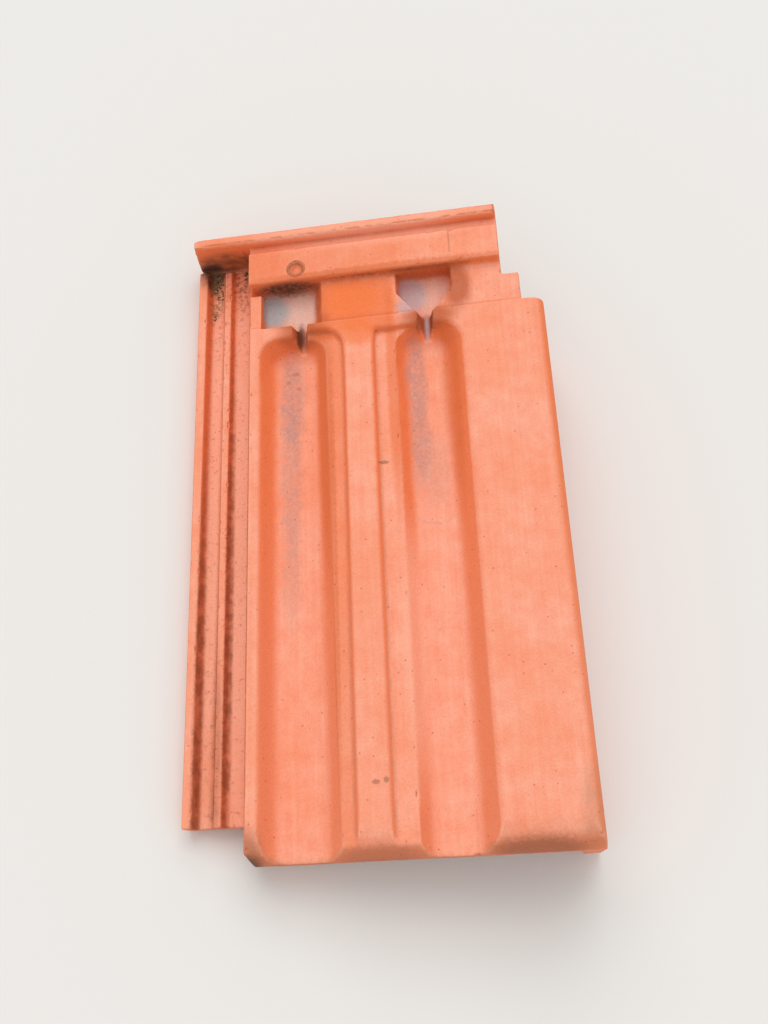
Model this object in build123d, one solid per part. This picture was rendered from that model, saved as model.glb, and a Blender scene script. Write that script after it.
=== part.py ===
from build123d import *
from math import atan2, degrees, sqrt
import os

os.makedirs("parts", exist_ok=True)

# A pressed and fired clay verge tile with two water troughs, in mm.
# It is drawn flat: X from the side lap to the verge, Y from the foot to the head, Z = 0 on its face.
# The last lines lay it down as it rests on level ground, on its side lap and its verge flange.

# Overall
tile_width = 239.0
cover_length = 333.0
head_overlap = 71.0
shell = 13.0
under_level = 30.0
soft_edge = 1.0

# Side lap: two ribs and two grooves that the next tile covers
lap_width = 41.3
lap_wall_lean = 4.2
lap_notch = 21.0
lap_floor = 22.0
lap_corner_round = 2.5
outer_rib_width = 6.0
outer_rib_top = 14.0
middle_rib_start = 18.2
middle_rib_width = 4.3
middle_rib_top = 17.4
rib_lean = 2.2
rib_end_gap = 5.0

# Face, in order from the side lap
left_band = 6.9
trough_one_width = 47.9
trough_one_spread = 3.5
ledge_one_width = 9.9
ridge_width = 18.0
ledge_two_width = 13.4
trough_two_width = 47.3

# Troughs and ledges
trough_depth = 16.0
trough_lap_slope = 8.0
trough_verge_slope = 14.0
trough_head_slope = 9.0
trough_floor_round = 14.0
trough_floor_corner = 9.0
trough_head_wall = 9.0
trough_head_round = 12.0
trough_verge_round = 15.0
ledge_depth = 4.0
ledge_lean = 28.0
ledge_one_head = 4.0
ledge_one_round = 15.0
ledge_two_round = 3.5

# Foot: the face rolls down to a nose that hangs over the next course
nose_roll = 20.0
nose_drop = 14.5
nose_face = 20.0
nose_lobe = 6.0
nose_lobe_start = 13.0
nose_lobe_side = 16.0
nose_length = 15.0
nose_back = 20.0
foot_corner_width = 9.0
foot_corner_length = 13.0
foot_corner_lean = 9.5

# Lobes of the underside, below the troughs
lobe_inset = 9.0
lobe_spread = 3.0
lobe_overrun = 6.0

# Verge flange
flange_depth = 88.0
flange_root = 13.0
flange_tip = 11.0
flange_corner_round = 9.0
flange_clearance = 1.4

# Head: steps at the verge side, flat bar, groove and rain lip
step_length = 21.0
step_width = 11.5
block_drop = 1.5
bar_setback = 31.5
bar_width = 25.0
bar_rise = 5.0
groove_width = 6.5
groove_depth = 3.0
lip_rise = 9.0
lip_lean = 1.2
lip_ease = 1.5
lip_end_draft = 3.0

# Pockets that take the lobes of the next nose, and the drains from them into the troughs
head_wall = 8.0
pocket_depth = 13.0
pocket_round = 3.5
pocket_draft = 4.0
edge_wall = 7.6
edge_wall_gap = 3.0
edge_wall_bevel = 3.0
pocket_one_floor = 35.0
pocket_one_slope = 8.0
pocket_two_inset = 4.5
pocket_two_setback = 5.3
pocket_two_straight = 16.0
drain_floor = 3.5
drain_mouth = 11.0
drain_step = 0.5
drain_one_shift = 3.8
drain_two_shift = -0.5
block_groove = 2.0
shoulder_round = 5.0

# Nail mark in the bar, and the nibs that hook over the batten
nail_mark_width = 11.0
nail_mark_floor = 5.5
nail_mark_depth = 3.0
nail_mark_inset = 26.4
nail_mark_edge = 8.5
nail_mark_rim = 13.0
nail_mark_rise = 0.6
nib_width = 28.0
nib_length = 15.0
nib_reach = 42.0
nib_edge = 6.0

# Places that follow from the sizes
trough_one_left = lap_width + left_band
trough_one_right = trough_one_left + trough_one_width
ridge_left = trough_one_right + ledge_one_width
ridge_right = ridge_left + ridge_width
trough_two_left = ridge_right + ledge_two_width
trough_two_right = trough_two_left + trough_two_width
trough_one_middle = (trough_one_left + trough_one_right) / 2
trough_two_middle = (trough_two_left + trough_two_right) / 2
flange_inner = tile_width - flange_root
shoulder_right = flange_inner - flange_clearance
head_right = shoulder_right - step_width
tile_length = cover_length + head_overlap
trough_head = cover_length - trough_head_wall
pocket_front = trough_head + head_wall
bar_start = cover_length + bar_setback
bar_end = bar_start + bar_width
lip_start = bar_end + groove_width
nose_level = nose_drop + nose_face
lobe_level = nose_level + nose_lobe
overshoot = 50.0


def across(points, start, end):
    """A section drawn in X and Z, run from one Y to another."""
    plane = Plane(origin=(0, start, 0), x_dir=(1, 0, 0), z_dir=(0, -1, 0))
    return extrude(plane * make_face(Polyline(*points, close=True)), amount=start - end)


def lengthwise(points, start, end):
    """A side view drawn in Y and Z, run from one X to another."""
    plane = Plane(origin=(start, 0, 0), x_dir=(0, 1, 0), z_dir=(1, 0, 0))
    return extrude(plane * make_face(Polyline(*points, close=True)), amount=end - start)


def block(left, right, start, end, bottom, top):
    """A square block between two places along each axis."""
    middle = Pos((left + right) / 2, (start + end) / 2, (bottom + top) / 2)
    return middle * Box(right - left, end - start, top - bottom)


def channel_outline(left, right, head, left_round, right_round, spread=0.0):
    """The plan of a channel, open at the foot and rounded at its head, that may spread towards the foot."""
    foot_right = right + spread * (head + overshoot) / trough_head
    corners = ((left, -overshoot), (left, head), (right, head), (foot_right, -overshoot))
    outline = make_face(Polyline(*corners, close=True))
    outline = fillet(outline.vertices().group_by(Axis.Y)[-1].sort_by(Axis.X)[0], left_round)
    return fillet(outline.vertices().group_by(Axis.Y)[-1].sort_by(Axis.X)[-1], right_round)


def eased(outline):
    """The space above an outline on the face, with an eased rim."""
    rim = extrude(offset(outline, amount=soft_edge), amount=-soft_edge, taper=45)
    return rim + extrude(outline, amount=bar_rise)


def make_trough(left, right, verge_round, spread):
    """A trough's space: steep beside the lap, gentle towards the verge, with a rounded floor."""
    floor_left = left + trough_lap_slope
    floor_right = right - trough_verge_slope
    floor_head = trough_head - trough_head_slope
    corner = trough_floor_corner
    rim = channel_outline(left, right, trough_head, trough_head_round, verge_round, spread)
    floor = channel_outline(floor_left, floor_right, floor_head, corner, corner, spread)
    space = loft([rim, Pos(0, 0, -trough_depth) * floor], ruled=True)
    return fillet(space.faces().sort_by(Axis.Z)[0].edges(), trough_floor_round) + eased(rim)


def make_ledge(left, right, head, left_round, right_round):
    """A shallow ledge's space between a trough and the ridge."""
    outline = channel_outline(left, right, head, left_round, right_round)
    return extrude(outline, amount=-ledge_depth, taper=ledge_lean) + eased(outline)


def make_deck():
    """The plate that carries everything, with two steps back from the verge at its head."""
    head_level = -block_drop
    deck = block(lap_width, flange_inner + soft_edge, 0, cover_length, -shell, 0)
    deck += block(lap_width, shoulder_right, cover_length, cover_length + step_length, -shell, head_level)
    return deck + block(lap_width, head_right, cover_length, tile_length, -shell, head_level)


def across_corner(edge):
    """How far an edge lies towards the upper verge corner of a section."""
    return edge.center().X + edge.center().Z


def make_flange():
    """The verge flange: square to the face inside, leaning outside, with a well rounded outer corner."""
    outline = [
        (flange_inner, 0),
        (tile_width, 0),
        (flange_inner + flange_tip, -flange_depth),
        (flange_inner, -flange_depth),
    ]
    flange = across(outline, 0, cover_length)
    outer_corner = flange.edges().filter_by(Axis.Y).sort_by(across_corner)[-1]
    flange = fillet(outer_corner, flange_corner_round)
    return fillet(flange.edges().filter_by(Axis.Y).sort_by(Axis.Z)[0:2], lap_corner_round)


def make_lobes():
    """Two lobes below the troughs, which keep the wall as thick there as in the deck."""
    lobe_one = [
        (lap_width - lap_wall_lean, -shell),
        (lap_width - lap_wall_lean, -under_level),
        (trough_one_right - lobe_inset, -under_level),
        (trough_one_right + lobe_spread, -shell),
    ]
    lobe_two = [
        (trough_two_left - lobe_spread, -shell),
        (trough_two_left + lobe_inset, -under_level),
        (trough_two_right - lobe_inset, -under_level),
        (trough_two_right + lobe_spread, -shell),
    ]
    lobe_end = bar_start + lobe_overrun
    return across(lobe_one, 0, lobe_end) + across(lobe_two, 0, lobe_end)


def make_nose():
    """The foot nose, whose two lobes drop into the pockets of the course below."""
    outline = [
        (lap_width, 0),
        (lap_width - lap_wall_lean, -under_level),
        (lap_width + nose_lobe_start / 2, -under_level),
        (lap_width + nose_lobe_start, -lobe_level),
        (trough_one_right - nose_lobe_side, -lobe_level),
        (trough_one_right, -nose_level),
        (trough_two_left + nose_lobe_side / 4, -nose_level),
        (trough_two_left + nose_lobe_side / 2, -lobe_level),
        (trough_two_right - nose_lobe_side, -lobe_level),
        (trough_two_right, -nose_level),
        (flange_inner + flange_tip / 2, -nose_level),
        (flange_inner + flange_tip / 2, -flange_corner_round),
        (flange_inner, 0),
    ]
    nose_end = nose_length + nose_back
    side = [(0, 0), (0, -flange_depth), (nose_length, -lobe_level), (nose_end, -shell), (nose_end, 0)]
    return across(outline, 0, nose_end) & lengthwise(side, 0, tile_width)


def make_side_lap():
    """The low plate beside the body, with its two ribs, cut short at the foot."""
    middle_rib_end = middle_rib_start + middle_rib_width
    outline = [
        (0, -under_level),
        (0, -outer_rib_top - soft_edge),
        (soft_edge, -outer_rib_top),
        (outer_rib_width, -outer_rib_top),
        (outer_rib_width + rib_lean, -lap_floor),
        (middle_rib_start - rib_lean / 2, -lap_floor),
        (middle_rib_start, -middle_rib_top),
        (middle_rib_end, -middle_rib_top),
        (middle_rib_end + rib_lean, -lap_floor),
        (lap_width - lap_wall_lean, -lap_floor),
        (lap_width, -soft_edge),
        (lap_width + soft_edge, 0),
        (lap_width + left_band / 2, 0),
        (lap_width + left_band / 2, -under_level),
    ]
    lap = across(outline, lap_notch, tile_length)
    bottom_corner = lap.edges().filter_by(Axis.Y).sort_by(across_corner)[0]
    lap = fillet(bottom_corner, lap_corner_round)
    lap -= block(-soft_edge, lap_width, lip_start - rib_end_gap, tile_length, -lap_floor, lip_rise)
    return lap - block(lap_width, tile_width, cover_length, tile_length, -block_drop, lip_rise)


def make_head():
    """The flat bar, the groove behind it and the rain lip, which also closes the side lap."""
    bar = block(lap_width, head_right, bar_start, lip_start, -shell, bar_rise)
    bar = chamfer(bar.edges().filter_by(Axis.X).group_by(Axis.Z)[-1].sort_by(Axis.Y)[0], soft_edge)
    bar -= block(0, tile_width, bar_end, lip_start, bar_rise - groove_depth, lip_rise)
    lip_outline = [
        (lip_start - lip_lean, -under_level),
        (lip_start, lip_rise - lip_ease),
        (lip_start + lip_ease, lip_rise),
        (tile_length - lip_ease, lip_rise),
        (tile_length, lip_rise - lip_ease),
        (tile_length, -under_level),
    ]
    lip = lengthwise(lip_outline, 0, head_right)
    end_cut = [(0, -outer_rib_top), (lip_end_draft, lip_rise), (0, lip_rise)]
    lip -= across(end_cut, lip_start - lip_lean, tile_length)
    body_left = lap_width + left_band / 2
    lip -= block(body_left, head_right, lip_start - lip_lean, tile_length, -under_level, -shell)
    return bar + lip


def make_nib(middle):
    """One nib: square where it bears on the batten, leaning on its other sides."""
    nib_end = tile_length - nib_edge
    nib_start = nib_end - nib_length
    nib = block(middle - nib_width / 2, middle + nib_width / 2, nib_start, nib_end, -nib_reach, -shell)
    foot_edges = nib.faces().sort_by(Axis.Z)[0].edges()
    return chamfer(foot_edges.sort_by(Axis.Y)[1:], soft_edge)


def dished(space):
    """A pocket's space with its floor rounded into the walls."""
    return fillet(space.edges().group_by(Axis.Z)[0], pocket_round)


def make_pocket_one():
    """The pocket beside the side lap: an upright outer wall, and a slope up to the middle block."""
    left = lap_width + edge_wall
    floor_right = left + pocket_one_floor
    outline = [
        (left, bar_rise),
        (left, -pocket_depth),
        (floor_right, -pocket_depth),
        (floor_right + pocket_one_slope, 0),
        (floor_right + pocket_one_slope, bar_rise),
    ]
    return dished(across(outline, pocket_front, bar_start))


def make_pocket_two():
    """The pocket beside the verge, which narrows like a funnel to its drain."""
    left = trough_two_left + pocket_two_inset
    right = trough_two_right - pocket_two_setback
    drain = trough_two_middle + drain_two_shift
    outline = [
        (left, bar_start),
        (left, bar_start - pocket_two_straight),
        (drain - drain_mouth / 2, pocket_front),
        (drain + drain_mouth / 2, pocket_front),
        (right, bar_start - pocket_two_straight),
        (right, bar_start),
    ]
    plan = make_face(Polyline(*outline, close=True))
    return dished(extrude(plan, amount=-pocket_depth, taper=pocket_draft)) + extrude(plan, amount=bar_rise)


def make_drain(middle):
    """A V-shaped drain from a pocket through the head wall of its trough."""
    outline = [
        (middle - drain_floor / 2, -pocket_depth - drain_step),
        (middle + drain_floor / 2, -pocket_depth - drain_step),
        (middle + drain_mouth / 2, soft_edge),
        (middle - drain_mouth / 2, soft_edge),
    ]
    return across(outline, trough_head - trough_depth, pocket_front + pocket_round)


def make_roll():
    """What the rolled foot leaves out, above an arc that starts level with the face."""
    run = sqrt(nose_roll**2 - (nose_roll - nose_drop) ** 2)
    plane = Plane(origin=(-soft_edge, 0, 0), x_dir=(0, 1, 0), z_dir=(1, 0, 0))
    front = Pos(run / 2, -nose_drop / 2) * Rectangle(run, nose_drop)
    above = Pos(run / 2, soft_edge / 2) * Rectangle(run, soft_edge)
    kept = Pos(run, -nose_roll) * Circle(nose_roll)
    return extrude(plane * (front + above - kept), amount=tile_width + soft_edge * 2)


body = make_deck() + make_flange() + make_lobes() + make_nose() + make_side_lap() + make_head()
for middle in (trough_one_middle, trough_two_middle):
    body += make_nib(middle)

body -= make_trough(trough_one_left, trough_one_right, trough_head_round, trough_one_spread)
body -= make_trough(trough_two_left, trough_two_right, trough_verge_round, 0.0)
ledge_one_left = trough_one_middle + drain_one_shift
body -= make_ledge(ledge_one_left, ridge_left, trough_head + ledge_one_head, soft_edge, ledge_one_round)
body -= make_ledge(ridge_right, trough_two_middle, trough_head, ledge_two_round, soft_edge)

body -= make_roll()

# The foot corner beside the side lap slants away, most at the top
corner_left = lap_width - lap_wall_lean
corner_right = lap_width + foot_corner_width
corner_top = [
    (corner_left, 0),
    (corner_right, 0),
    (corner_left, foot_corner_length),
]
corner_low = [
    (corner_left, 0),
    (corner_right - foot_corner_lean, 0),
    (corner_left, foot_corner_length - foot_corner_lean),
]
upper = make_face(Polyline(*corner_top, close=True))
lower = make_face(Polyline(*corner_low, close=True))
slanted = loft([upper, Pos(0, 0, -nose_level) * lower], ruled=True)
body -= Pos(-soft_edge, -soft_edge, soft_edge) * slanted

body -= make_pocket_one()
body -= make_pocket_two()
body -= make_drain(trough_one_middle + drain_one_shift)
body -= make_drain(trough_two_middle + drain_two_shift)

# The low wall beside the first pocket stops short of the bar, with a slanting end
wall_end = bar_start - edge_wall_gap
wall_cut = [
    (wall_end - edge_wall_bevel, 0),
    (wall_end, -pocket_depth),
    (bar_start, -pocket_depth),
    (bar_start, 0),
]
body -= lengthwise(wall_cut, lap_width - lap_wall_lean, lap_width + edge_wall + soft_edge)

# A groove that sets the middle block off from the face in front of it
groove = [
    (cover_length - soft_edge, 0),
    (cover_length, -block_drop - soft_edge),
    (cover_length + block_groove, -block_drop),
    (cover_length + block_groove, 0),
]
block_left = lap_width + edge_wall + pocket_one_floor
body -= lengthwise(groove, block_left, trough_two_left + pocket_two_inset + soft_edge)

# The shoulder runs up to the bar in a hollow round
shoulder_left = trough_two_right - pocket_two_setback
hollow_plane = Plane(origin=(shoulder_left, bar_start, -block_drop), x_dir=(0, 1, 0), z_dir=(1, 0, 0))
hollow = Pos(-shoulder_round / 2, shoulder_round / 2) * Rectangle(shoulder_round, shoulder_round)
hollow -= Pos(-shoulder_round, shoulder_round) * Circle(shoulder_round)
body += extrude(hollow_plane * hollow, amount=head_right - shoulder_left)

# The nail mark is a dent with a raised ring round it
nail_place = Pos(lap_width + edge_wall + nail_mark_inset, bar_start + nail_mark_edge, bar_rise)
nail_ring = Cone(nail_mark_rim / 2, nail_mark_width / 2, nail_mark_rise)
nail_dent = Cone(nail_mark_floor / 2, nail_mark_width / 2, nail_mark_depth)
body += nail_place * Pos(0, 0, nail_mark_rise / 2) * nail_ring
body -= nail_place * Pos(0, 0, nail_mark_rise - nail_mark_depth / 2) * nail_dent

# Laid down as it rests: the lap's rounded corner and the flange's rounded tip touch the ground
rest_rise = flange_depth - under_level
rest_run = flange_inner
rest_tilt = degrees(atan2(rest_rise, rest_run))
tile = Rot(0, -rest_tilt, 0) * body
box = tile.bounding_box()
middle = box.center()
tile = Pos(-middle.X, -middle.Y, -box.min.Z) * tile
tile.label = "roof_tile"
export_step(tile, "parts/roof_tile.step")
print("rest tilt", round(rest_tilt, 2), "volume cm3", round(tile.volume / 1000))
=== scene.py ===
import bpy, bmesh
from math import atan2, cos, radians, sin
from mathutils import Matrix, Vector


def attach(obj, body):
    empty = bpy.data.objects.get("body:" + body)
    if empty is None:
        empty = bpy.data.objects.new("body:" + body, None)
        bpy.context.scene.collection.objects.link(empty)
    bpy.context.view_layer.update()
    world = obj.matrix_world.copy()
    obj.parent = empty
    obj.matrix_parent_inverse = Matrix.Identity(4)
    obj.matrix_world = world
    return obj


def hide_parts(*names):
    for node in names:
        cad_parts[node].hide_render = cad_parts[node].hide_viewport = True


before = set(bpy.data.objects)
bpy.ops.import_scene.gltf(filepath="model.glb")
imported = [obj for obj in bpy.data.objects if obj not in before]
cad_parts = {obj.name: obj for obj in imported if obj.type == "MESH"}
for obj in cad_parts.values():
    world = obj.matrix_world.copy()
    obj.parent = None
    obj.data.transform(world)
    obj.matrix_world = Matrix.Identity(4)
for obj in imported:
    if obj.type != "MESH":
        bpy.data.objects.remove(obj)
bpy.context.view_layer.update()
print("stage: frame loaded")

# The tile is drawn flat, in mm: X from the side lap to the verge, Y from the foot to the head,
# Z = 0 on its face. As it lies it is turned about Y, onto its side lap and its flange.
lay = {
    "tilt": 14.39359,  # degrees
    "middleX": 125.80800,
    "middleY": 202.0,
    "ground": -29.05833,
    "mmPerM": 1000.0,
}

turn = Matrix.Rotation(radians(lay["tilt"]), 4, "Y")
shift = turn @ Vector((lay["middleX"], lay["middleY"], lay["ground"]))
toFlat = Matrix.Translation(shift) @ turn @ Matrix.Scale(lay["mmPerM"], 4)
toRow = toFlat.inverted()
upFromFace = (-sin(radians(lay["tilt"])), 0.0, cos(radians(lay["tilt"])))

# settings that many nodes share
smooth = {"interpolation_type": "SMOOTHSTEP"}
asVectors = {"data_type": "FLOAT_VECTOR"}
asColours = {"data_type": "RGBA"}


def hexColour(text):
    # the sRGB curve, undone
    channels = [int(text[place:place + 2], 16) / 255 for place in (0, 2, 4)]
    linear = [c / 12.92 if c <= 0.04045 else ((c + 0.055) / 1.055) ** 2.4 for c in channels]
    return (*linear, 1.0)


def addNode(tree, kind, settings=None, **sockets):
    # settings are the node's own values, or just the name of its operation; a socket is
    # named in words, or by its number, and takes a value, a socket or another node
    node = tree.nodes.new(kind)
    if isinstance(settings, str):
        settings = {"operation": settings}
    for name, value in (settings or {}).items():
        setattr(node, name, value)
    for name, value in sockets.items():
        words = name.replace("_", " ").strip()
        if words.isdigit():
            socket = node.inputs[int(words)]
        else:
            socket = next(s for s in node.inputs if s.name == words and s.enabled)
        if isinstance(value, bpy.types.Node):
            value = next(s for s in value.outputs if s.enabled)
        if isinstance(value, bpy.types.NodeSocket):
            tree.links.new(value, socket)
        else:
            socket.default_value = value
    return node


def newMaterial(name):
    material = bpy.data.materials.new(name)
    material.use_nodes = True
    material.node_tree.nodes.clear()
    return material, material.node_tree


def newNodeTool(name, sizes):
    tool = bpy.data.node_groups.new(name, "GeometryNodeTree")
    tool.interface.new_socket("Geometry", in_out="INPUT", socket_type="NodeSocketGeometry")
    for size, value in sizes.items():
        kind = "NodeSocketInt" if isinstance(value, int) else "NodeSocketFloat"
        tool.interface.new_socket(size, in_out="INPUT", socket_type=kind)
    tool.interface.new_socket("Geometry", in_out="OUTPUT", socket_type="NodeSocketGeometry")
    return tool, addNode(tool, "NodeGroupInput")


def useNodeTool(thing, tool, sizes):
    modifier = thing.modifiers.new(tool.name, "NODES")
    modifier.node_group = tool
    for socket in tool.interface.items_tree:
        if socket.in_out == "INPUT" and socket.name in sizes:
            modifier[socket.identifier] = sizes[socket.name]


def asPlainMesh(thing):
    depsgraph = bpy.context.evaluated_depsgraph_get()
    plain = bpy.data.meshes.new_from_object(
        thing.evaluated_get(depsgraph), preserve_all_data_layers=True, depsgraph=depsgraph
    )
    thing.modifiers.clear()
    plain.transform(toRow)
    thing.data = plain
    print("stage:", thing.name, len(plain.polygons), "faces")


def newPiece(name, mesh):
    thing = bpy.data.objects.new(name, mesh)
    bpy.context.scene.collection.objects.link(thing)
    return thing


def zone(tree, coords, middle, reach, blur):
    # 1 inside a box about the middle, fading to 0 over the blur, in mm
    fade = (blur, blur, blur)
    away = addNode(tree, "ShaderNodeVectorMath", "SUBTRACT", _0=coords, _1=middle)
    away = addNode(tree, "ShaderNodeVectorMath", "ABSOLUTE", _0=away)
    away = addNode(tree, "ShaderNodeVectorMath", "SUBTRACT", _0=away, _1=reach)
    away = addNode(tree, "ShaderNodeVectorMath", "MAXIMUM", _0=away, _1=(0.0, 0.0, 0.0))
    away = addNode(tree, "ShaderNodeVectorMath", "DIVIDE", _0=away, _1=fade)
    away = addNode(tree, "ShaderNodeVectorMath", "LENGTH", _0=away).outputs["Value"]
    return addNode(tree, "ShaderNodeMapRange", smooth, Value=away, From_Min=1.0, From_Max=0.0)


# Fired clay body: the pressed edges are rounded by wear and chipped here and there
clayBody = {
    "joinWithin": 1e-6,  # m
    "grid": 0.8,  # mm
    "keptFaces": 0.18,
    "wear": {
        "Round passes": 2,
        "Feel passes": 10,
        "Chip depth": 1.4,  # mm
        "Chip size": 7.0,
        "Lip start": 396.0,
        "Soft passes": 60,
    },
    "moreOnLip": 0.15,  # chips along the rain lip
    # where the press left the trough slopes soft: middle, reach, blur, in mm
    "softSlopes": (
        ((52.0, 160.0, -8.0), (7.0, 130.0, 9.0), 12.0),
        ((85.0, 165.0, -12.0), (3.0, 135.0, 4.0), 5.0),
        ((143.0, 160.0, -8.0), (6.0, 130.0, 9.0), 12.0),
        ((172.0, 165.0, -12.0), (3.0, 135.0, 4.0), 5.0),
    ),
}


def clayWearTool():
    tool, sizes = newNodeTool("clayWear", clayBody["wear"])
    given = sizes.outputs
    place = addNode(tool, "GeometryNodeInputPosition")
    normal = addNode(tool, "GeometryNodeInputNormal")

    # how far the surface bends away: outwards at an edge, inwards in a hollow
    felt = addNode(
        tool, "GeometryNodeBlurAttribute", asVectors, Value=place, Iterations=given["Feel passes"]
    )
    sunk = addNode(tool, "ShaderNodeVectorMath", "SUBTRACT", _0=felt, _1=place)
    bend = addNode(tool, "ShaderNodeVectorMath", "DOT_PRODUCT", _0=sunk, _1=normal)
    bend = bend.outputs["Value"]
    edge = addNode(
        tool, "ShaderNodeMapRange", smooth, Value=bend, From_Min=-0.08, From_Max=-0.55
    )
    hollow = addNode(
        tool, "ShaderNodeMapRange", smooth, Value=bend, From_Min=0.05, From_Max=0.5
    )

    # chips along the edges, more of them on the rain lip at the head
    along = addNode(tool, "ShaderNodeSeparateXYZ", Vector=place).outputs["Y"]
    onLip = addNode(tool, "ShaderNodeMath", "GREATER_THAN", _0=along, _1=given["Lip start"])
    scale = addNode(tool, "ShaderNodeMath", "DIVIDE", _0=1.0, _1=given["Chip size"])
    noise = addNode(
        tool, "ShaderNodeTexNoise", Vector=place, Scale=scale, Detail=4.0, Roughness=0.65
    )
    raised = addNode(
        tool, "ShaderNodeMath", "MULTIPLY_ADD", _0=onLip, _1=clayBody["moreOnLip"], _2=noise
    )
    broken = addNode(
        tool, "ShaderNodeMapRange", smooth, Value=raised, From_Min=0.58, From_Max=0.70
    )
    chip = addNode(tool, "ShaderNodeMath", "MULTIPLY", _0=broken, _1=edge)
    depth = addNode(tool, "ShaderNodeMath", "MULTIPLY", _0=chip, _1=given["Chip depth"])
    inwards = addNode(tool, "ShaderNodeMath", "MULTIPLY", _0=depth, _1=-1.0)
    push = addNode(tool, "ShaderNodeVectorMath", "SCALE", _0=normal, Scale=inwards)

    # all edges are a little round, and the trough slopes are softer still
    rounded = addNode(
        tool, "GeometryNodeBlurAttribute", asVectors, Value=place, Iterations=given["Round passes"]
    )
    softer = addNode(
        tool, "GeometryNodeBlurAttribute", asVectors, Value=place, Iterations=given["Soft passes"]
    )
    soft = None
    for middle, reach, blur in clayBody["softSlopes"]:
        slope = zone(tool, place, middle, reach, blur)
        if soft is None:
            soft = slope
        else:
            soft = addNode(tool, "ShaderNodeMath", "MAXIMUM", _0=soft, _1=slope)
    upwards = addNode(tool, "ShaderNodeSeparateXYZ", Vector=normal).outputs["Z"]
    upwards = addNode(
        tool, "ShaderNodeMapRange", smooth, Value=upwards, From_Min=0.1, From_Max=0.5
    )
    soft = addNode(tool, "ShaderNodeMath", "MULTIPLY", _0=soft, _1=upwards)
    rounded = addNode(
        tool, "ShaderNodeMix", {"data_type": "VECTOR"}, Factor=soft, A=rounded, B=softer
    )
    moved = addNode(tool, "ShaderNodeVectorMath", "ADD", _0=rounded, _1=push)

    # the clay's material reads these marks
    marked = given["Geometry"]
    onPoints = {"data_type": "FLOAT", "domain": "POINT"}
    for name, value in (("edge", edge), ("hollow", hollow), ("chip", chip)):
        marked = addNode(
            tool, "GeometryNodeStoreNamedAttribute", onPoints,
            Geometry=marked, Name=name, Value=value,
        )
    worn = addNode(tool, "GeometryNodeSetPosition", Geometry=marked, Position=moved)
    addNode(tool, "NodeGroupOutput", _0=worn)
    return tool


draft = bmesh.new()
draft.from_mesh(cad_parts["roof_tile"].data)
bmesh.ops.remove_doubles(draft, verts=draft.verts, dist=clayBody["joinWithin"])
draft.transform(toFlat)
clayMesh = bpy.data.meshes.new("clayBody")
draft.to_mesh(clayMesh)
draft.free()
body = newPiece("clayBody", clayMesh)
even = body.modifiers.new("evenFaces", "REMESH")
even.mode = "VOXEL"
even.voxel_size = clayBody["grid"]
even.use_smooth_shade = True
useNodeTool(body, clayWearTool(), clayBody["wear"])
fewer = body.modifiers.new("fewerFaces", "DECIMATE")
fewer.ratio = clayBody["keptFaces"]
asPlainMesh(body)
body.data.materials.clear()
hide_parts("roof_tile")
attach(body, "root")


def flatCoords(tree):
    # object coordinates, turned back to the flat tile, in mm
    coords = addNode(tree, "ShaderNodeTexCoord")
    return addNode(
        tree, "ShaderNodeMapping", Vector=coords.outputs["Object"], Location=tuple(shift),
        Rotation=(0.0, radians(lay["tilt"]), 0.0), Scale=(lay["mmPerM"],) * 3,
    )


def wobbled(tree, coords, noise, reach):
    # the same place, pushed about by a noise over the reach in mm, so that edges come out ragged
    pushed = addNode(
        tree, "ShaderNodeVectorMath", "MULTIPLY_ADD",
        _0=noise.outputs["Color"], _1=reach, _2=coords,
    )
    half = [part / 2 for part in reach]
    return addNode(tree, "ShaderNodeVectorMath", "SUBTRACT", _0=pushed, _1=half)


def spot(tree, coords, middle, size, most):
    # most in the middle, fading to 0 at the edge of an ellipsoid; size is its half axes, in mm
    away = addNode(tree, "ShaderNodeVectorMath", "SUBTRACT", _0=coords, _1=middle)
    away = addNode(tree, "ShaderNodeVectorMath", "DIVIDE", _0=away, _1=size)
    away = addNode(tree, "ShaderNodeVectorMath", "LENGTH", _0=away).outputs["Value"]
    return addNode(
        tree, "ShaderNodeMapRange", smooth, Value=away, From_Min=1.0, From_Max=0.4, To_Max=most
    )


def paint(tree, under, mask, strength, colour):
    amount = mask
    if strength != 1.0:
        amount = addNode(tree, "ShaderNodeMath", "MULTIPLY", _0=mask, _1=strength)
    return addNode(
        tree, "ShaderNodeMix", asColours, Factor=amount, A=under, B=hexColour(colour)
    )


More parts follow.
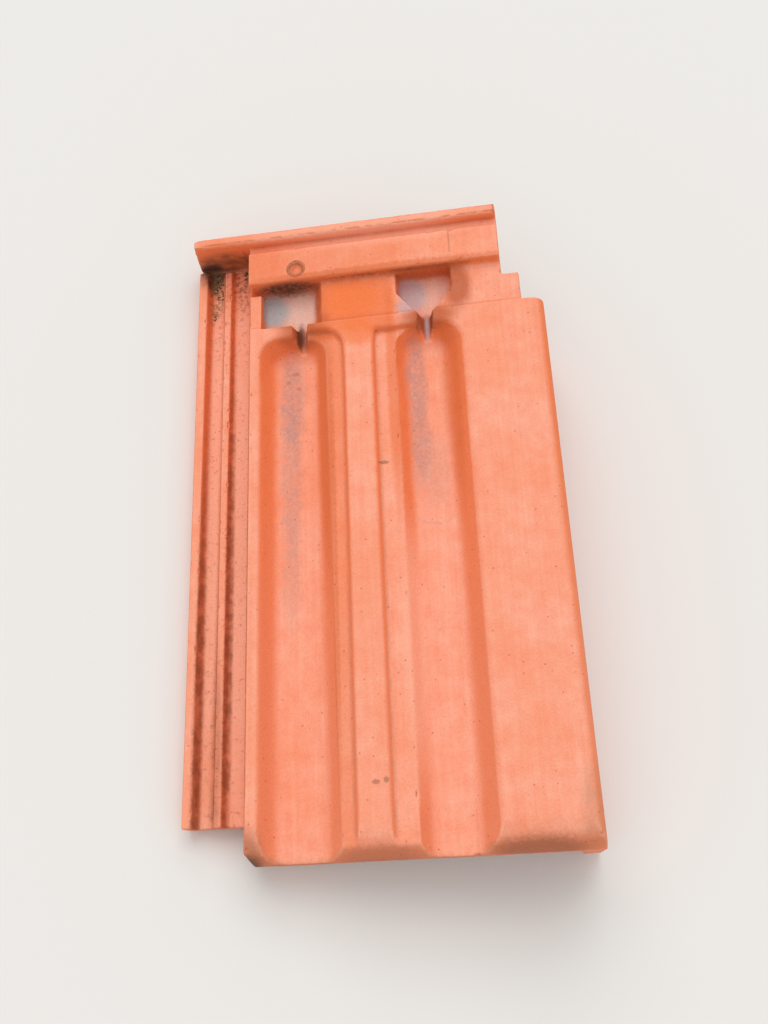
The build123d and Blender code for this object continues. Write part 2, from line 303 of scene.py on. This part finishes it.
# Unglazed fired terracotta, pressed: matt and finely gritty, orange where it is sheltered, with a
# pale pinkish bloom where it faces the sky, painted paler still as a sheen of the sky; painted
# shade and painted light also lie on some slopes, walls and floors
clay = {
    "fresh": "ec7440",
    "orange": "f98650",
    "foot": "f08c66",
    # the bloom's colours, painted paler as a sheen of the sky; the paler one is also used as
    # painted light
    "bloomAndSheen": "f99676",
    "paleBloomAndLight": "ffb092",
    # edges worn paler, and painted lighter still as highlights
    "wornEdgeAndHighlight": "ffb898",
    "block": "f67a3c",
    "deep": "dc6a32",
    "brown": "bc5626",
    "chip": "e0622b",
    "speck": "a8492a",
    "stain": "b88880",
    "silt": "b9a8ae",
    "wetSilt": "a2aeb2",
    "paleSilt": "e8c8ba",
    # dirt colours, some also used for painted shade
    "dirtAndShade": "6a4226",
    "blackDirtAndShade": "34271d",
    "wallDirtAndShade": "8a3f1c",
    "cornerDirtAndShade": "9a5230",
    "greenDirt": "77663c",
    # patterns, in mm
    "cloudSize": 45.0,
    "mottleSize": 9.0,
    "fineSize": 2.6,
    "gritSize": 1.1,  # drawn about twice as coarse as it is, to show
    "speckSize": 4.0,
    "streaksPerMm": (0.35, 0.012, 0.35),  # drawn out along the tile
    # how far patches are pushed about at their edges, in mm
    "loose": (9.0, 26.0, 4.0),
    "torn": (3.0, 6.0, 1.0),
    "smudged": (5.0, 8.0, 4.0),
    "chewed": (1.6, 1.6, 0.0),
    # how strongly each is painted over what is below it
    "atFoot": 0.7,
    "atClouds": 0.25,
    "onWornEdgesAndHighlights": 0.55,
    "onLapFloor": 0.60,
    "onLapWalls": 0.28,
    "inCorners": 0.42,
    "onChips": 0.8,
    "onSpecks": 0.45,
    # surface
    "noSpeckShare": 0.78,
    "pitDepth": 1.6,  # set against the grit's
    "fineDepth": 1.2,
    "reliefStrength": 0.6,
    "reliefDepth": 0.0003,  # m
    "roughness": 0.8,
    "dampRoughness": 0.40,
    "ior": 1.5,
}
# where the bloom and its painted sheen hardly lie, at the middle block and the head, which the
# next course covers, and painted shade on the first ledge: place, middle, reach, blur, strength
barePlacesAndShade = (
    ("loose", (112.0, 342.0, -1.0), (24.0, 16.0, 3.0), 9.0, 0.90),
    ("exact", (80.0, 385.0, 0.0), (60.0, 18.0, 12.0), 26.0, 0.45),
    # painted shade: the first ledge is kept darker
    ("exact", (101.0, 150.0, -4.0), (3.5, 170.0, 1.5), 2.5, 0.60),
)
# tints of the clay, as shelter, damp and rain leave it, with painted shade on the trough walls and
# heads, the first ledge and the bar's front wall, and painted light on the floors of the lap's
# grooves and the second trough's left slope: middle, size, strength, colour
tintsLightAndShade = (
    ((111.0, 347.0, -1.0), (27.5, 21.8, 7.5), 0.90, clay["block"]),
    ((115.5, 322.0, 0.0), (15.7, 14.3, 10.0), 0.75, clay["block"]),
    ((50.0, 380.0, 5.0), (21.4, 21.4, 12.9), 0.40, clay["fresh"]),
    # painted shade on the bar's front wall
    ((127.0, 366.5, 5.0), (125.4, 3.9, 4.6), 0.65, clay["deep"]),
    # bloom on the lip and the bar
    ((118.0, 400.0, 9.0), (110.0, 13.0, 10.0), 0.65, clay["paleBloomAndLight"]),
    ((137.0, 391.0, 3.0), (82.9, 10.0, 8.6), 0.50, clay["paleBloomAndLight"]),
    # painted light on the floors of the lap's grooves
    ((11.5, 205.0, -22.0), (7.9, 214.3, 5.0), 0.60, clay["paleBloomAndLight"]),
    ((30.5, 195.0, -22.0), (8.6, 228.6, 5.0), 0.65, clay["paleBloomAndLight"]),
    # darker at the right block; painted shade on the trough heads and the strip before them
    ((183.0, 349.0, -1.0), (13.0, 24.0, 11.0), 0.82, clay["brown"]),
    ((74.0, 336.0, -2.0), (27.5, 8.9, 13.2), 0.85, clay["brown"]),
    ((77.0, 326.0, -5.0), (22.9, 12.9, 17.1), 0.75, clay["brown"]),
    ((163.0, 328.0, -4.0), (26.4, 12.1, 16.4), 0.85, clay["brown"]),
    # silt by the second pocket
    ((148.0, 338.0, -2.0), (8.6, 8.6, 12.9), 0.60, clay["silt"]),
    # painted shade on the trough walls and the first ledge, painted light on the second trough's
    # left slope near the foot
    ((90.5, 265.0, -7.0), (9.3, 142.9, 15.7), 0.60, clay["deep"]),
    ((95.2, 165.0, -3.0), (3.1, 222.6, 5.4), 0.60, clay["deep"]),
    ((136.8, 285.0, -4.0), (5.4, 114.3, 9.6), 0.65, clay["fresh"]),
    ((142.0, 115.0, -8.0), (9.3, 100.0, 15.0), 0.70, clay["paleBloomAndLight"]),
    ((174.5, 292.0, -10.0), (9.3, 121.4, 15.0), 0.55, clay["deep"]),
)
# grey-mauve stains that the drains leave down both troughs: middle, size, strength
runOffStains = (
    ((67.5, 285.0, -16.0), (11.4, 50.0, 14.3), 0.70),
    ((66.0, 230.0, -16.0), (9.3, 75.0, 14.3), 0.56),
    ((66.0, 165.0, -16.0), (7.9, 47.1, 14.3), 0.36),
    ((151.0, 290.0, -15.0), (9.3, 50.0, 14.3), 0.78),
    ((151.5, 246.0, -16.0), (9.3, 35.7, 14.3), 0.60),
    ((157.5, 226.0, -16.0), (15.0, 33.6, 17.1), 0.32),
)
# silt, still damp, on the floors of the pockets and drains: middle, size, strength, colour
pocketFloors = (
    ((74.0, 350.0, -13.0), (21.0, 21.0, 8.0), 0.75, clay["paleSilt"]),
    ((54.0, 351.0, -13.0), (16.0, 19.0, 8.0), 0.95, clay["wetSilt"]),
    ((167.0, 350.0, -13.0), (17.9, 22.1, 7.9), 0.50, clay["paleSilt"]),
    ((150.0, 352.0, -13.0), (15.0, 20.7, 7.9), 0.85, clay["silt"]),
    ((78.5, 326.0, -15.0), (2.4, 13.0, 4.6), 0.60, clay["silt"]),
    ((160.0, 326.0, -15.0), (3.9, 15.0, 5.0), 0.85, clay["silt"]),
)
# marks against walls and edges: washed dirt and soil, with painted shade on the lap walls, in the
# pockets and drain slits and under the bar: middle, size, strength, colour, how it is broken up
dirtAndShadeMarks = (
    ((17.0, 300.0, -18.0), (3.6, 140.0, 6.0), 0.55, clay["paleBloomAndLight"], "even"),
    # painted shade with dirt under the bar's front wall and in the pockets
    ((67.0, 363.3, -5.5), (30.7, 4.7, 12.1), 0.92, clay["blackDirtAndShade"], "even"),
    ((87.0, 352.0, -6.0), (6.4, 16.4, 10.7), 0.75, clay["brown"], "even"),
    ((163.0, 363.5, -5.0), (36.1, 4.6, 11.1), 0.80, clay["brown"], "even"),
    ((150.0, 365.0, 1.0), (89.4, 2.0, 3.0), 0.60, clay["dirtAndShade"], "mottled"),
    # painted shade in the drain slits
    ((74.3, 329.0, -9.0), (3.2, 15.0, 12.0), 0.85, clay["blackDirtAndShade"], "even"),
    ((154.8, 327.0, -8.0), (2.1, 9.6, 11.0), 0.70, clay["dirtAndShade"], "even"),
    ((164.8, 328.0, -8.0), (2.6, 9.7, 11.1), 0.65, clay["dirtAndShade"], "even"),
    # painted shade with dirt on the lap walls
    ((37.0, 150.0, -7.0), (1.9, 200.0, 13.6), 0.60, clay["wallDirtAndShade"], "mottled"),
    ((7.0, 70.0, -18.0), (3.6, 221.4, 8.6), 0.75, clay["wallDirtAndShade"], "mottled"),
    ((24.5, 130.0, -20.0), (3.6, 264.3, 5.7), 0.80, clay["wallDirtAndShade"], "mottled"),
    ((17.5, 50.0, -18.5), (6.4, 107.1, 7.1), 0.50, clay["wallDirtAndShade"], "mottled"),
    # soil and moss at the head of the side lap
    ((20.0, 395.0, -12.0), (30.0, 6.4, 17.0), 0.85, clay["dirtAndShade"], "mottled"),
    ((7.0, 391.0, -19.0), (12.1, 20.0, 10.7), 0.95, clay["blackDirtAndShade"], "even"),
    ((10.5, 378.0, -22.0), (7.1, 30.0, 5.0), 0.80, clay["greenDirt"], "flecked"),
    ((30.0, 390.0, -22.0), (10.0, 34.3, 5.0), 0.60, clay["cornerDirtAndShade"], "flecked"),
    ((36.0, 385.0, -12.0), (2.9, 28.6, 16.4), 0.75, clay["dirtAndShade"], "mottled"),
    # dirt at the right foot corner
    ((235.0, 18.0, -3.0), (11.4, 32.9, 11.4), 0.28, clay["greenDirt"], "mottled"),
)
# dirt and painted shade at the foot corner, on the rolled foot edge and under it: middle, size,
# strength
footDirtAndShade = (
    ((42.0, 2.0, -20.0), (8.6, 7.1, 22.9), 0.95),
    ((43.0, 3.0, -6.0), (10.7, 24.3, 16.4), 0.42),
    ((50.0, 0.0, -14.0), (12.9, 7.1, 17.1), 0.25),
    ((203.0, 0.0, -8.0), (39.3, 12.1, 22.1), 0.55),
    ((116.0, 0.0, -7.0), (36.4, 10.7, 17.9), 0.34),
    ((105.0, -1.0, -26.0), (120.0, 5.0, 20.0), 0.28),
)
# small stains: middle, size, strength
smallMarks = (
    ((128.0, 229.0, -4.0), (5.0, 1.6, 5.0), 0.55),
    ((116.5, 39.6, 0.0), (3.2, 1.7, 5.0), 0.50),
    ((122.4, 40.4, 0.0), (2.2, 2.4, 5.0), 0.50),
    ((69.5, 303.0, -15.0), (4.0, 2.2, 5.0), 0.30),
    ((64.5, 297.0, -15.0), (2.6, 1.8, 5.0), 0.24),
    ((71.5, 292.0, -15.0), (2.4, 2.0, 5.0), 0.26),
)
# what the side lap keeps, its floor and its walls, in mm
lapFloor = {"middle": (20.0, 205.0, -22.0), "reach": (18.0, 195.0, 4.0), "blur": 2.0}
lapSides = {"middle": (23.0, 205.0, -13.0), "reach": (16.0, 188.0, 7.0), "blur": 3.0}
# the edge of the stain in the second trough
tideLine = {
    "middle": (158.0, 211.0, -16.0),
    "radius": 21.0,
    "line": 0.9,
    "end": (158.0, 190.0, -16.0),
    "reach": (8.0, 3.0, 5.0),
    "blur": 5.0,
    "strength": 0.22,
}
nailMark = {"middle": (74.8, 373.0, 5.0), "radius": 5.3, "line": 1.3, "strength": 0.80}
hairline = {
    "middle": (180.4, 380.0, 5.0),
    "reach": (0.0, 8.0, 1.0),
    "blur": 1.0,
    "strength": 0.35,
}


def clayMaterial():
    material, tree = newMaterial("unglazedFiredTerracotta")
    coords = flatCoords(tree)
    cloud = addNode(
        tree, "ShaderNodeTexNoise",
        Vector=coords, Scale=1 / clay["cloudSize"], Detail=3.0, Roughness=0.55,
    )
    mottle = addNode(
        tree, "ShaderNodeTexNoise",
        Vector=coords, Scale=1 / clay["mottleSize"], Detail=4.0, Roughness=0.6,
    )
    fine = addNode(
        tree, "ShaderNodeTexNoise",
        Vector=coords, Scale=1 / clay["fineSize"], Detail=4.0, Roughness=0.7,
    )
    grit = addNode(
        tree, "ShaderNodeTexNoise",
        Vector=coords, Scale=1 / clay["gritSize"], Detail=2.0, Roughness=0.6,
    )
    drawn = addNode(tree, "ShaderNodeMapping", Vector=coords, Scale=clay["streaksPerMm"])
    streak = addNode(
        tree, "ShaderNodeTexNoise", Vector=drawn, Scale=1.0, Detail=2.0, Roughness=0.6
    )
    loose = wobbled(tree, coords, mottle, clay["loose"])
    along = addNode(tree, "ShaderNodeSeparateXYZ", Vector=coords).outputs["Y"]

    # bare clay: orange, paler and pinker towards the foot
    colour = addNode(
        tree, "ShaderNodeMix", asColours,
        Factor=mottle, A=hexColour(clay["fresh"]), B=hexColour(clay["orange"]),
    )
    weathered = addNode(
        tree, "ShaderNodeMapRange", smooth, Value=along, From_Min=280.0, From_Max=60.0
    )
    colour = paint(tree, colour, weathered, clay["atFoot"], clay["foot"])

    # the bloom lies on what faces the sky, with a painted sheen of the sky on it, less at the
    # head, which the next course covers
    facing = addNode(tree, "ShaderNodeNewGeometry").outputs["Normal"]
    level = addNode(tree, "ShaderNodeVectorMath", "DOT_PRODUCT", _0=facing, _1=upFromFace)
    level = level.outputs["Value"]
    bloomAndSheen = addNode(
        tree, "ShaderNodeMapRange", smooth, Value=level, From_Min=0.62, From_Max=0.96
    )
    patchy = addNode(
        tree, "ShaderNodeMapRange",
        Value=cloud, From_Min=0.3, From_Max=0.6, To_Min=0.8, To_Max=1.0,
    )
    bloomAndSheen = addNode(tree, "ShaderNodeMath", "MULTIPLY", _0=bloomAndSheen, _1=patchy)
    places = {"exact": coords, "loose": loose}
    # less bloom and sheen where the clay is bare, and painted shade on the first ledge
    for place, middle, reach, blur, strength in barePlacesAndShade:
        lessPale = zone(tree, places[place], middle, reach, blur)
        kept = addNode(tree, "ShaderNodeMath", "MULTIPLY_ADD", _0=lessPale, _1=-strength, _2=1.0)
        bloomAndSheen = addNode(tree, "ShaderNodeMath", "MULTIPLY", _0=bloomAndSheen, _1=kept)
    streaked = addNode(tree, "ShaderNodeMath", "MULTIPLY_ADD", _0=mottle, _1=1.4, _2=streak)
    streaked = addNode(
        tree, "ShaderNodeMapRange", Value=streaked, From_Min=0.75, From_Max=1.65
    )
    # painted sheen: the faces turned to the sky are drawn paler
    skin = addNode(
        tree, "ShaderNodeMix", asColours,
        Factor=streaked, A=hexColour(clay["bloomAndSheen"]), B=hexColour(clay["paleBloomAndLight"]),
    )
    clouded = addNode(tree, "ShaderNodeMapRange", Value=cloud, From_Min=0.60, From_Max=0.38)
    skin = paint(tree, skin, clouded, clay["atClouds"], clay["orange"])
    colour = addNode(tree, "ShaderNodeMix", asColours, Factor=bloomAndSheen, A=colour, B=skin)
    # edges worn paler, painted lighter still as a highlight
    worn = addNode(tree, "ShaderNodeAttribute", {"attribute_name": "edge"}).outputs["Fac"]
    worn = addNode(tree, "ShaderNodeMath", "MULTIPLY", _0=worn, _1=mottle)
    colour = paint(tree, colour, worn, clay["onWornEdgesAndHighlights"], clay["wornEdgeAndHighlight"])
    torn = wobbled(tree, coords, fine, clay["torn"])
    # tints, with painted shade and painted light, as listed above
    for middle, size, strength, shade in tintsLightAndShade:
        colour = paint(tree, colour, spot(tree, torn, middle, size, strength), 1.0, shade)

    # stains of the run-off
    broken = addNode(tree, "ShaderNodeMath", "MULTIPLY_ADD", _0=mottle, _1=0.5, _2=fine)
    broken = addNode(
        tree, "ShaderNodeMapRange", smooth,
        Value=broken, From_Min=0.50, From_Max=0.95, To_Min=0.25, To_Max=0.95,
    )
    for middle, size, strength in runOffStains:
        stained = spot(tree, loose, middle, size, strength)
        colour = paint(tree, colour, stained, broken, clay["stain"])

    # silt, which also makes the floors look damp
    damp = None
    thick = addNode(
        tree, "ShaderNodeMapRange",
        Value=fine, From_Min=0.38, From_Max=0.55, To_Min=0.70, To_Max=1.0,
    )
    for middle, size, strength, shade in pocketFloors:
        silted = spot(tree, torn, middle, size, strength)
        colour = paint(tree, colour, silted, thick, shade)
        if damp is None:
            damp = silted
        else:
            damp = addNode(tree, "ShaderNodeMath", "MAXIMUM", _0=damp, _1=silted)

    # the side lap: specks of dirt on its floor, more of them uphill, and a dark film with painted
    # shade on its walls
    inLap = zone(tree, coords, **lapFloor)
    uphill = addNode(
        tree, "ShaderNodeMapRange", smooth,
        Value=along, From_Min=300.0, From_Max=395.0, To_Min=0.60, To_Max=0.52,
    )
    over = addNode(tree, "ShaderNodeMath", "SUBTRACT", _0=fine, _1=uphill)
    flecks = addNode(
        tree, "ShaderNodeMapRange", smooth, Value=over, From_Min=-0.06, From_Max=0.14
    )
    flecks = addNode(tree, "ShaderNodeMath", "MULTIPLY", _0=flecks, _1=inLap)
    colour = paint(tree, colour, flecks, clay["onLapFloor"], clay["cornerDirtAndShade"])
    lapWalls = zone(tree, coords, **lapSides)
    steep = addNode(
        tree, "ShaderNodeMapRange", smooth, Value=level, From_Min=0.85, From_Max=0.45
    )
    uneven = addNode(
        tree, "ShaderNodeMapRange",
        Value=mottle, From_Min=0.35, From_Max=0.6, To_Min=0.4, To_Max=1.0,
    )
    # painted shade with dirt on the lap's steep walls
    wallFilmAndShade = addNode(tree, "ShaderNodeMath", "MULTIPLY", _0=steep, _1=uneven)
    wallFilmAndShade = addNode(tree, "ShaderNodeMath", "MULTIPLY", _0=wallFilmAndShade, _1=lapWalls)
    colour = paint(tree, colour, wallFilmAndShade, clay["onLapWalls"], clay["wallDirtAndShade"])

    # washed dirt and painted shade, smooth or broken up by one of the noises
    flecked = addNode(
        tree, "ShaderNodeMapRange", smooth, Value=fine, From_Min=0.42, From_Max=0.60
    )
    grains = {"even": thick, "mottled": uneven, "flecked": flecked}
    # dirt and painted shade, as listed above
    for middle, size, strength, shade, grain in dirtAndShadeMarks:
        darkMark = spot(tree, torn, middle, size, strength)
        colour = paint(tree, colour, darkMark, grains[grain], shade)

    # the tide line
    ring = addNode(
        tree, "ShaderNodeVectorMath", "DISTANCE", _0=torn, _1=tideLine["middle"]
    ).outputs["Value"]
    ring = addNode(
        tree, "ShaderNodeMath", "COMPARE", _0=ring, _1=tideLine["radius"], _2=tideLine["line"]
    )
    lowEnd = zone(tree, coords, tideLine["end"], tideLine["reach"], tideLine["blur"])
    ring = addNode(tree, "ShaderNodeMath", "MULTIPLY", _0=ring, _1=lowEnd)
    colour = paint(tree, colour, ring, tideLine["strength"], clay["stain"])

    # painted shade with dirt in every inner corner, dirt and painted shade at the foot, and a dark
    # ring around the nail mark
    # painted shade with grime in every hollow
    hollow = addNode(tree, "ShaderNodeAttribute", {"attribute_name": "hollow"}).outputs["Fac"]
    cornerShadeAndGrime = addNode(tree, "ShaderNodeMath", "MULTIPLY", _0=hollow, _1=uneven)
    colour = paint(tree, colour, cornerShadeAndGrime, clay["inCorners"], clay["cornerDirtAndShade"])
    smudged = wobbled(tree, coords, fine, clay["smudged"])
    # dirt and painted shade at the foot
    for middle, size, strength in footDirtAndShade:
        soiled = spot(tree, smudged, middle, size, strength)
        colour = paint(tree, colour, soiled, 1.0, clay["dirtAndShade"])
    around = addNode(
        tree, "ShaderNodeVectorMath", "DISTANCE", _0=coords, _1=nailMark["middle"]
    ).outputs["Value"]
    around = addNode(
        tree, "ShaderNodeMath", "COMPARE", _0=around, _1=nailMark["radius"], _2=nailMark["line"]
    )
    around = addNode(tree, "ShaderNodeMath", "MULTIPLY", _0=around, _1=uneven)
    colour = paint(tree, colour, around, nailMark["strength"], clay["dirtAndShade"])

    # chipped edges show clean clay
    chip = addNode(tree, "ShaderNodeAttribute", {"attribute_name": "chip"}).outputs["Fac"]
    colour = paint(tree, colour, chip, clay["onChips"], clay["chip"])

    # specks of iron in the clay, each in a pit, and a few deeper marks
    cell = addNode(
        tree, "ShaderNodeTexVoronoi", {"feature": "F1"},
        Vector=coords, Scale=1 / clay["speckSize"], Randomness=1.0,
    )
    dot = addNode(
        tree, "ShaderNodeMapRange", smooth,
        Value=cell.outputs["Distance"], From_Min=0.16, From_Max=0.07,
    )
    some = addNode(tree, "ShaderNodeSeparateXYZ", Vector=cell.outputs["Color"]).outputs["X"]
    some = addNode(tree, "ShaderNodeMath", "GREATER_THAN", _0=some, _1=clay["noSpeckShare"])
    pits = addNode(tree, "ShaderNodeMath", "MULTIPLY", _0=dot, _1=some)
    colour = paint(tree, colour, pits, clay["onSpecks"], clay["speck"])
    chewed = wobbled(tree, coords, grit, clay["chewed"])
    for middle, size, strength in smallMarks:
        marked = spot(tree, chewed, middle, size, strength)
        colour = paint(tree, colour, marked, 1.0, clay["dirtAndShade"])
    seam = zone(tree, chewed, hairline["middle"], hairline["reach"], hairline["blur"])
    colour = paint(tree, colour, seam, hairline["strength"], clay["dirtAndShade"])

    # the tone of the grit itself
    tone = addNode(
        tree, "ShaderNodeMapRange",
        Value=grit, From_Min=0.3, From_Max=0.7, To_Min=0.90, To_Max=1.04,
    )
    colour = addNode(tree, "ShaderNodeVectorMath", "SCALE", _0=colour, Scale=tone)

    # relief: grit, and the pits in it
    height = addNode(
        tree, "ShaderNodeMath", "MULTIPLY_ADD", _0=pits, _1=-clay["pitDepth"], _2=grit
    )
    height = addNode(
        tree, "ShaderNodeMath", "MULTIPLY_ADD", _0=fine, _1=clay["fineDepth"], _2=height
    )
    relief = addNode(
        tree, "ShaderNodeBump",
        Height=height, Strength=clay["reliefStrength"], Distance=clay["reliefDepth"],
    )
    rough = addNode(
        tree, "ShaderNodeMapRange",
        Value=damp, To_Min=clay["roughness"], To_Max=clay["dampRoughness"],
    )
    shader = addNode(
        tree, "ShaderNodeBsdfPrincipled",
        Base_Color=colour, Roughness=rough, IOR=clay["ior"], Normal=relief,
    )
    addNode(tree, "ShaderNodeOutputMaterial", Surface=shader)
    return material


body.data.materials.append(clayMaterial())
print("stage: clay finished")

# Moss and soil washed into the head end of the side lap
moss = {
    # left, right, start, end and level of each bed, in mm
    "beds": (
        (6.5, 15.5, 350.0, 391.0, -22.3),
        (30.5, 36.5, 384.0, 392.0, -22.3),
        (1.0, 17.0, 389.0, 394.5, -22.3),
    ),
    "growth": {
        "Density": 1.6,  # per square mm
        "Smallest": 0.3,
        "Largest": 0.9,
        "Start": 335.0,
        "End": 398.0,
        "Seed": 7,
    },
    "sizeSeed": 3,
    "tuftFaces": 1,
    "bareSize": 6.25,
    "lumpsPerMm": 1.3,
    "lumpDepth": 1.4,
    "fullTurn": (6.28, 6.28, 6.28),
    "black": "453620",
    "dark": "66562e",
    "light": "7d7840",
    "soil": "8a5530",
    "sand": "b9aea2",
    "depthSize": 3.0,
    "soilSize": 7.0,
    "sandSize": 1.5,
    "soilStrength": 0.8,
    "lightStrength": 0.6,
    "sandStrength": 0.8,
    "roughness": 0.95,
}


def mossTool(material):
    tool, sizes = newNodeTool("mossTufts", moss["growth"])
    given = sizes.outputs
    points = addNode(
        tool, "GeometryNodeDistributePointsOnFaces",
        Mesh=given["Geometry"], Density=given["Density"], Seed=given["Seed"],
    )
    tuft = addNode(
        tool, "GeometryNodeMeshIcoSphere", Radius=1.0, Subdivisions=moss["tuftFaces"]
    )
    place = addNode(tool, "GeometryNodeInputPosition")
    along = addNode(tool, "ShaderNodeSeparateXYZ", Vector=place).outputs["Y"]
    thick = addNode(
        tool, "ShaderNodeMapRange",
        Value=along, From_Min=given["Start"], From_Max=given["End"], To_Min=0.34, To_Max=0.62,
    )
    patch = addNode(
        tool, "ShaderNodeTexNoise",
        Vector=place, Scale=1 / moss["bareSize"], Detail=3.0, Roughness=0.65,
    )
    lower = {"data_type": "FLOAT", "operation": "LESS_THAN"}
    grown = addNode(tool, "FunctionNodeCompare", lower, A=patch, B=thick)
    turned = addNode(
        tool, "FunctionNodeRandomValue", asVectors, Min=(0.0, 0.0, 0.0), Max=moss["fullTurn"]
    )
    size = addNode(
        tool, "FunctionNodeRandomValue", {"data_type": "FLOAT"},
        Min=given["Smallest"], Max=given["Largest"], Seed=moss["sizeSeed"],
    )
    placed = addNode(
        tool, "GeometryNodeInstanceOnPoints",
        Points=points.outputs["Points"], Selection=grown, Instance=tuft.outputs["Mesh"],
        Rotation=turned, Scale=size,
    )
    whole = addNode(tool, "GeometryNodeRealizeInstances", Geometry=placed)

    # each tuft is lumpy
    noise = addNode(
        tool, "ShaderNodeTexNoise", Vector=place, Scale=moss["lumpsPerMm"], Detail=2.0
    )
    centred = addNode(
        tool, "ShaderNodeVectorMath", "SUBTRACT", _0=noise.outputs["Color"], _1=(0.5, 0.5, 0.5)
    )
    rough = addNode(tool, "ShaderNodeVectorMath", "SCALE", _0=centred, Scale=moss["lumpDepth"])
    shaped = addNode(tool, "GeometryNodeSetPosition", Geometry=whole, Offset=rough)
    painted = addNode(tool, "GeometryNodeSetMaterial", Geometry=shaped, Material=material)
    addNode(tool, "NodeGroupOutput", _0=painted)
    return tool


def mossMaterial():
    # Damp cushion moss with soil and sand in it: dull, very rough, near black in its depths
    material, tree = newMaterial("cushionMossAndSoil")
    coords = flatCoords(tree)
    noise = addNode(
        tree, "ShaderNodeTexNoise",
        Vector=coords, Scale=1 / moss["depthSize"], Detail=5.0, Roughness=0.7,
    )
    spread = addNode(tree, "ShaderNodeMapRange", Value=noise, From_Min=0.35, From_Max=0.65)
    colour = addNode(
        tree, "ShaderNodeMix", asColours,
        Factor=spread, A=hexColour(moss["black"]), B=hexColour(moss["dark"]),
    )
    patch = addNode(
        tree, "ShaderNodeTexNoise", Vector=coords, Scale=1 / moss["soilSize"], Detail=2.0
    )
    soiled = addNode(tree, "ShaderNodeMapRange", Value=patch, From_Min=0.50, From_Max=0.60)
    colour = paint(tree, colour, soiled, moss["soilStrength"], moss["soil"])
    lit = addNode(tree, "ShaderNodeMapRange", Value=patch, From_Min=0.42, From_Max=0.34)
    colour = paint(tree, colour, lit, moss["lightStrength"], moss["light"])
    grain = addNode(
        tree, "ShaderNodeTexNoise", Vector=coords, Scale=1 / moss["sandSize"], Detail=1.0
    )
    sandy = addNode(tree, "ShaderNodeMapRange", Value=grain, From_Min=0.66, From_Max=0.70)
    colour = paint(tree, colour, sandy, moss["sandStrength"], moss["sand"])
    shader = addNode(
        tree, "ShaderNodeBsdfPrincipled", Base_Color=colour, Roughness=moss["roughness"]
    )
    addNode(tree, "ShaderNodeOutputMaterial", Surface=shader)
    return material


bed = bmesh.new()
for left, right, start, end, level in moss["beds"]:
    outline = ((left, start), (right, start), (right, end), (left, end))
    bed.faces.new([bed.verts.new((x, y, level)) for x, y in outline])
bedMesh = bpy.data.meshes.new("mossTufts")
bed.to_mesh(bedMesh)
bed.free()
tufts = newPiece("mossTufts", bedMesh)
useNodeTool(tufts, mossTool(mossMaterial()), moss["growth"])
asPlainMesh(tufts)
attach(tufts, "root")

# Plain pale floor, matt
paleFloor = {"size": 8, "colour": "e8e6e2", "roughness": 0.9}
floorMaterial, tree = newMaterial("paleFloor")
shader = addNode(
    tree, "ShaderNodeBsdfPrincipled",
    Base_Color=hexColour(paleFloor["colour"]), Roughness=paleFloor["roughness"],
)
addNode(tree, "ShaderNodeOutputMaterial", Surface=shader)
bpy.ops.mesh.primitive_plane_add(size=paleFloor["size"])
floor = bpy.context.object
floor.name = "paleFloor"
floor.data.materials.append(floorMaterial)

# Soft light as under a thin cloud: an even sky, and a broad sun behind the head of the tile
light = {
    "skyColour": "ffffff",
    "sky": 0.75,
    "sun": 1.2,
    "sunSpread": 50,  # degrees
    "sunTurn": (-38, -8, 0),
}
world = bpy.data.worlds.new("softSky")
bpy.context.scene.world = world
world.use_nodes = True
sky = world.node_tree.nodes["Background"].inputs
sky["Color"].default_value = hexColour(light["skyColour"])
sky["Strength"].default_value = light["sky"]
sun = bpy.data.lights.new("broadSun", "SUN")
sun.energy = light["sun"]
sun.angle = radians(light["sunSpread"])
sunObject = newPiece("broadSun", sun)
sunObject.rotation_euler = [radians(a) for a in light["sunTurn"]]

# The camera stands where the photograph was taken from; a longer lens brings the tile up to fill
# the frame
shot = {
    "place": (-0.0677, -0.2178, 0.6881),  # m
    "aim": (0.0, 0.0, 0.04),
    "pitch": 65.0,  # degrees
    "focalPixels": 1079,
    "framePixels": 1024,
    "sensor": 36,  # mm
    "shiftY": -0.118,
    "near": 0.01,
}
camera = bpy.data.cameras.new("photoCamera")
camera.sensor_width = shot["sensor"]
camera.lens = shot["focalPixels"] / shot["framePixels"] * shot["sensor"]
camera.shift_y = shot["shiftY"]
camera.clip_start = shot["near"]
ahead = Vector((0, cos(radians(shot["pitch"])), -sin(radians(shot["pitch"]))))
side = Vector((1, 0, 0))
toTile = Vector(shot["aim"]) - Vector(shot["place"])
pan = atan2(toTile.dot(side), toTile.dot(ahead))
ahead, side = ahead * cos(pan) + side * sin(pan), side * cos(pan) - ahead * sin(pan)
facing = Matrix((side, side.cross(ahead), -ahead)).transposed().to_4x4()
cameraObject = newPiece("photoCamera", camera)
cameraObject.matrix_world = Matrix.Translation(shot["place"]) @ facing
bpy.context.scene.camera = cameraObject
bpy.context.scene.view_settings.view_transform = "Standard"
